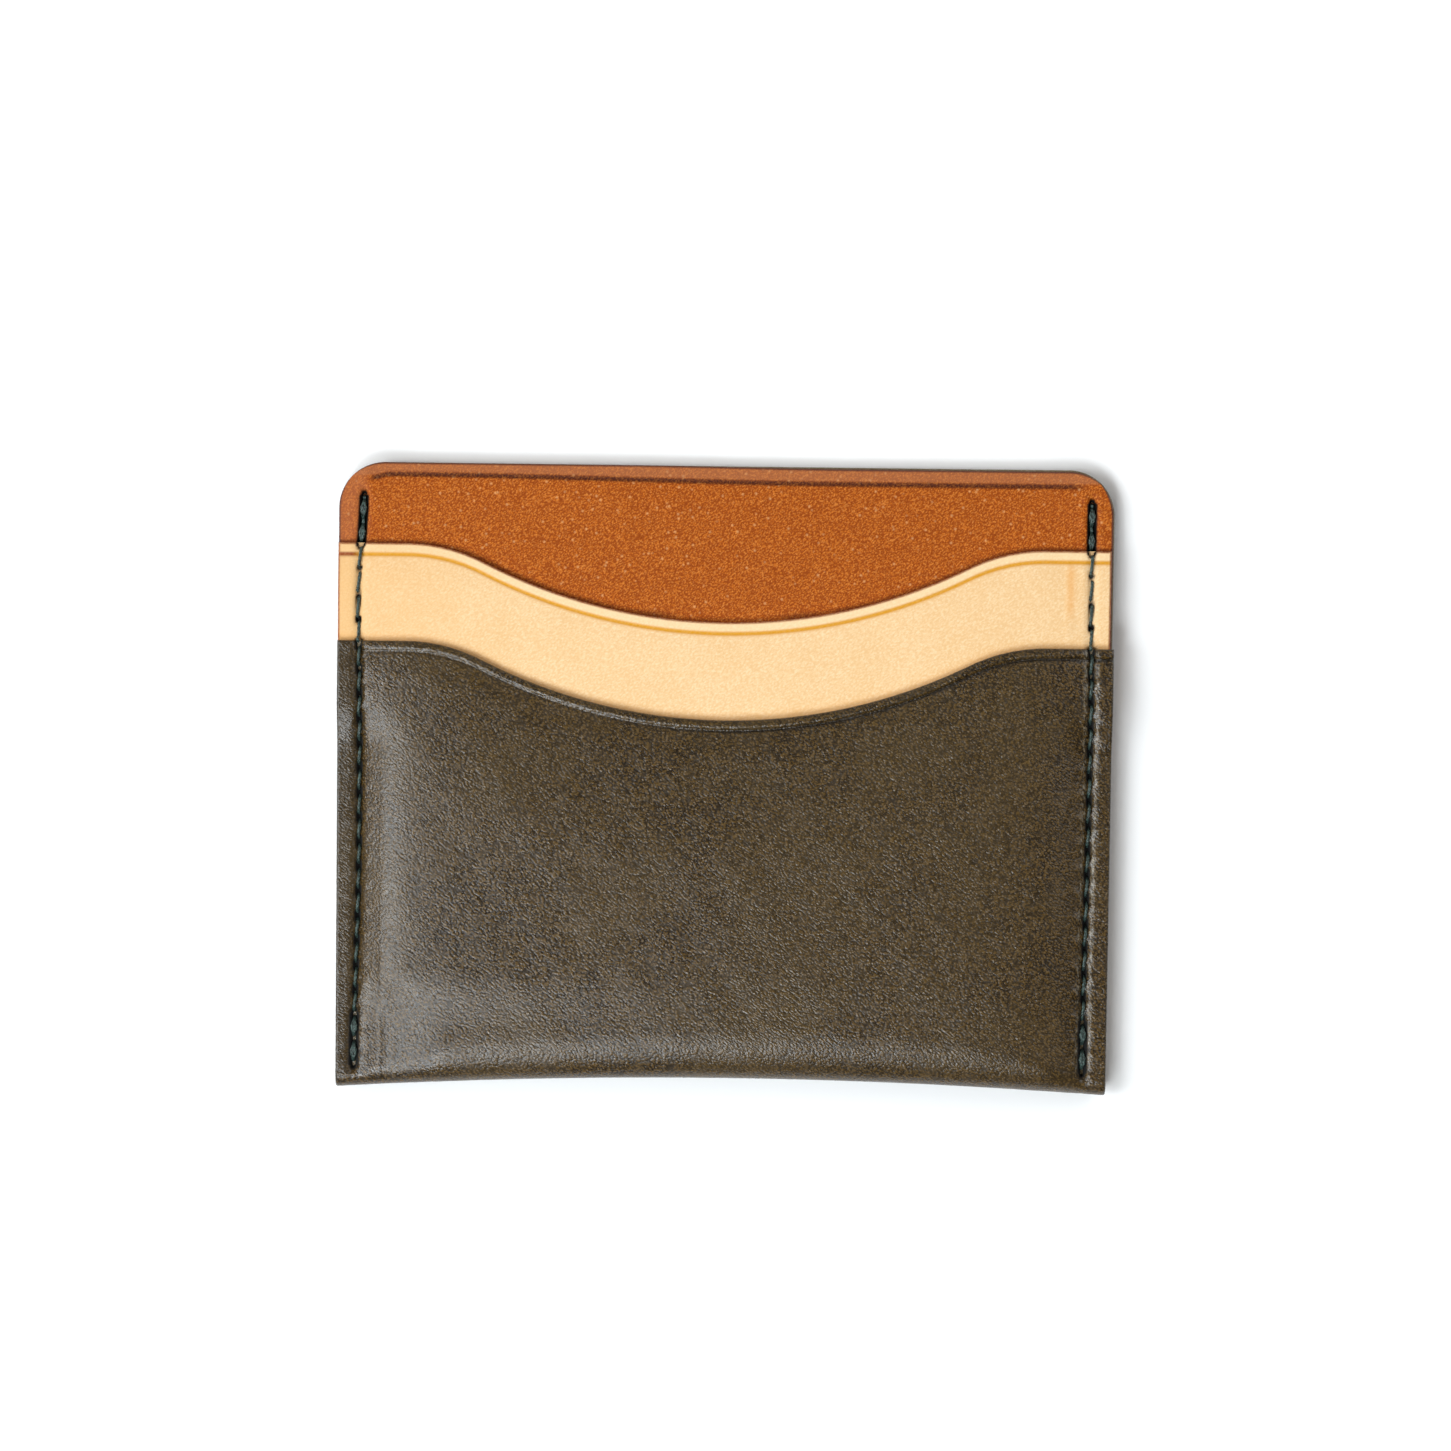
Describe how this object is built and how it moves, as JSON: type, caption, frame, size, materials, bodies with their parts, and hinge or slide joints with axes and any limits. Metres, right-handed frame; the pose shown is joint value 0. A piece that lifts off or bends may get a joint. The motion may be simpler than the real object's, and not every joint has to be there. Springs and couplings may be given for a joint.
{
  "type": "card holder",
  "caption": "Flat leather card holder with stepped wavy-mouthed pockets in olive, natural and brown leather, folded at the bottom and sewn up both sides.",
  "frame": {"origin": "under the middle of the flat back, at the centre of the object's box", "axes": "+X to the right as seen from the front, +Y towards the pocket mouths, +Z out of the front"},
  "size_m": [0.1, 0.0804, 0.0069],
  "materials": {
    "olive_leather": "semi-gloss, fine pebble grain",
    "natural_leather": "satin, smooth vegetable tanned",
    "brown_leather": "matte, lightly waxed",
    "thread": "waxed twisted thread"
  },
  "bodies": {
    "root": {"outer_shell": "olive_leather", "middle_pocket": "natural_leather", "inner_panel": "brown_leather", "left_needle_thread": "thread", "left_bobbin_thread": "thread", "right_needle_thread": "thread", "right_bobbin_thread": "thread", "base_needle_thread": "thread", "base_bobbin_thread": "thread"}
  },
  "joints": []
}
